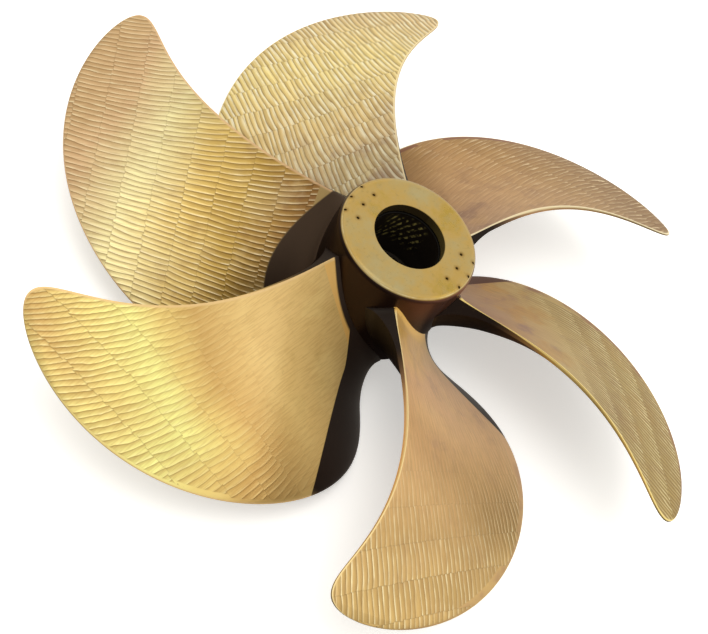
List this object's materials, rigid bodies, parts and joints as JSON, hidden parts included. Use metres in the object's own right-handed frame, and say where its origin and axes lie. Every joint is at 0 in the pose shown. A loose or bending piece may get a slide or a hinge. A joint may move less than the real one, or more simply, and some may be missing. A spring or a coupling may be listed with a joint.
{
  "type": "ship propeller",
  "caption": "Left-handed fixed-pitch ship propeller with highly skewed blades round a bored boss, in milled cast bronze, lying aft end up.",
  "frame": {"origin": "on the floor under the shaft axis, level with the lowest points of the blades' leading edges", "axes": "+Z along the shaft axis towards the aft end, +X along the reference line of blade_1"},
  "size_m": [2.772, 2.9994, 0.6047],
  "materials": {
    "milled_bronze": "milled with visible cutter grooves, lightly oxidised",
    "turned_bronze": "turned, stained"
  },
  "bodies": {
    "root": {"boss": "turned_bronze", "blade_1": "milled_bronze", "blade_2": "milled_bronze", "blade_3": "milled_bronze", "blade_4": "milled_bronze", "blade_5": "milled_bronze", "blade_6": "milled_bronze"}
  },
  "joints": []
}
